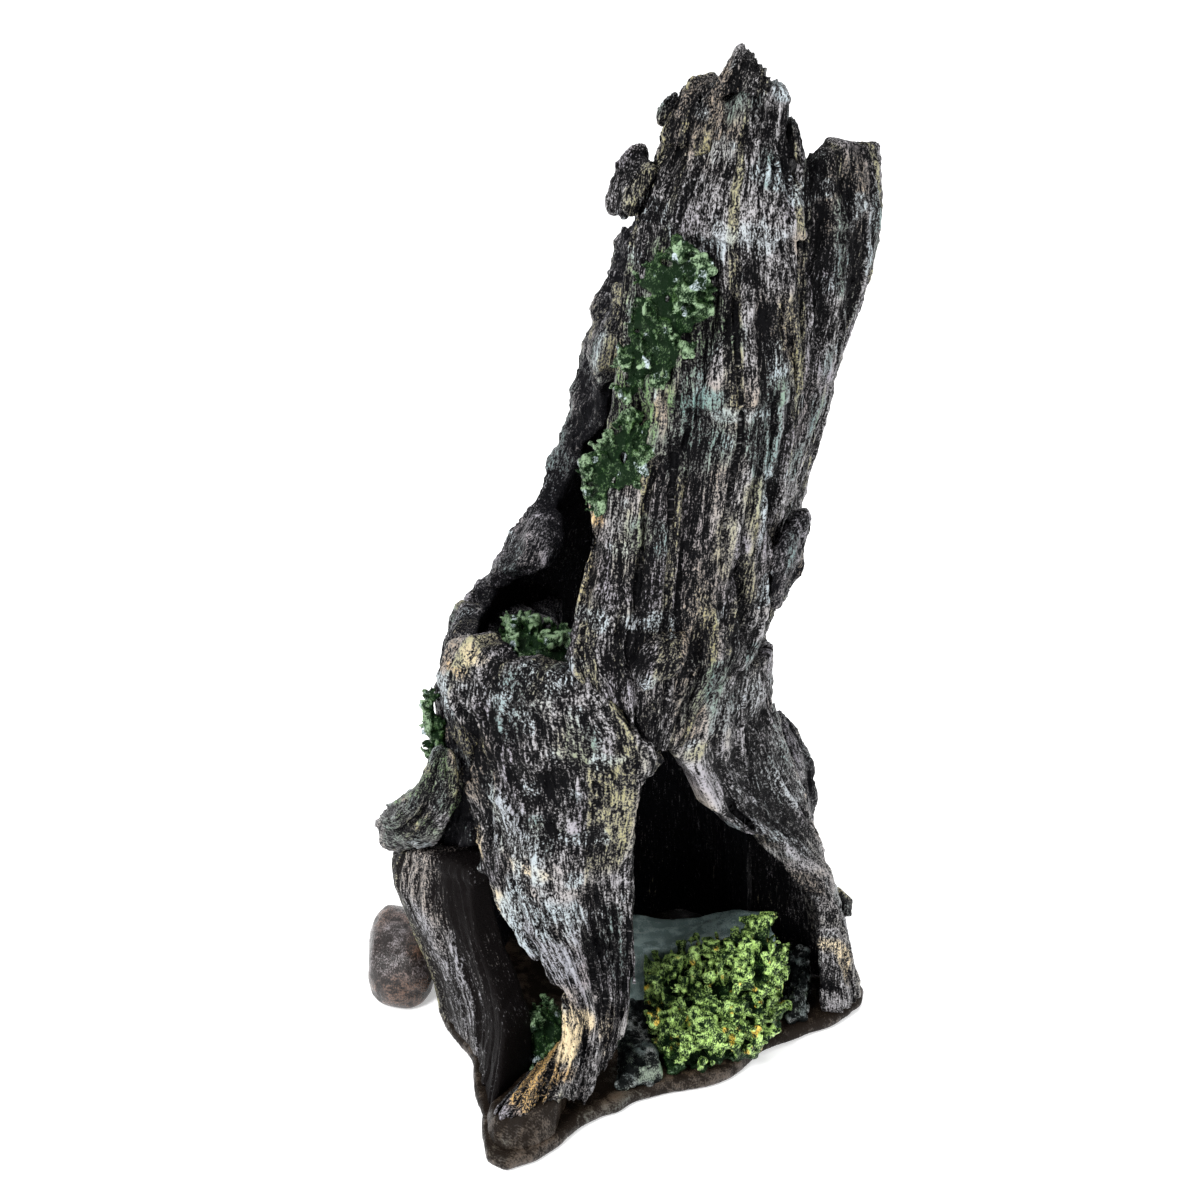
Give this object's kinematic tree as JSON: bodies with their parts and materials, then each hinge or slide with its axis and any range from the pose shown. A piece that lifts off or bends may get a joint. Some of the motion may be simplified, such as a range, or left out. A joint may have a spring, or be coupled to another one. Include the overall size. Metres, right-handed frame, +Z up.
{
  "type": "aquarium cave ornament",
  "caption": "Free-standing resin aquarium ornament shaped like a broken hollow tree trunk on spread roots, with an arched doorway, a slit cave, moss and stones.",
  "frame": {"origin": "on the flat underside of the base plate, under the middle of the trunk's foot", "axes": "+Z up along the trunk, -Y out of the doorway, +X to the right seen from the front"},
  "size_m": [0.1089, 0.1024, 0.2151],
  "materials": {
    "bark": "near-black paint with grey, ochre and teal dry brushing, semi-gloss varnish",
    "dark_bark": "near-black paint with light grey dry brushing, semi-gloss varnish",
    "smooth_root": "smooth dark brown paint, semi-gloss varnish",
    "grey_stone": "smooth grey-green paint, semi-gloss varnish",
    "brown_stone": "smooth red-brown and grey paint, semi-gloss varnish",
    "gravel": "dark painted grit",
    "moss": "bright green and yellow paint over dark green, semi-gloss varnish"
  },
  "bodies": {
    "root": {"base_plate": "smooth_root", "toe_block": "smooth_root", "left_root_wall": "smooth_root", "left_buttress": "bark", "front_trunk_slab": "bark", "right_trunk_slab": "bark", "right_buttress": "bark", "twisted_root": "bark", "hood_knot": "bark", "arch_spur": "bark", "left_edge_knob": "bark", "crown_knob": "bark", "crown_spike": "bark", "rear_trunk_wall": "dark_bark", "left_shoulder_wall": "dark_bark", "planting_ledge": "dark_bark", "rear_right_root": "dark_bark", "rear_left_root": "dark_bark", "rear_centre_root": "dark_bark", "right_burl": "dark_bark", "rear_knot": "dark_bark", "doorstep_rock": "grey_stone", "side_stone": "brown_stone", "gravel_left": "gravel", "gravel_right": "gravel", "doorway_moss": "moss", "upper_trunk_moss": "moss", "lower_trunk_moss": "moss", "shoulder_moss": "moss", "ledge_moss": "moss", "cave_moss": "moss"}
  },
  "joints": []
}
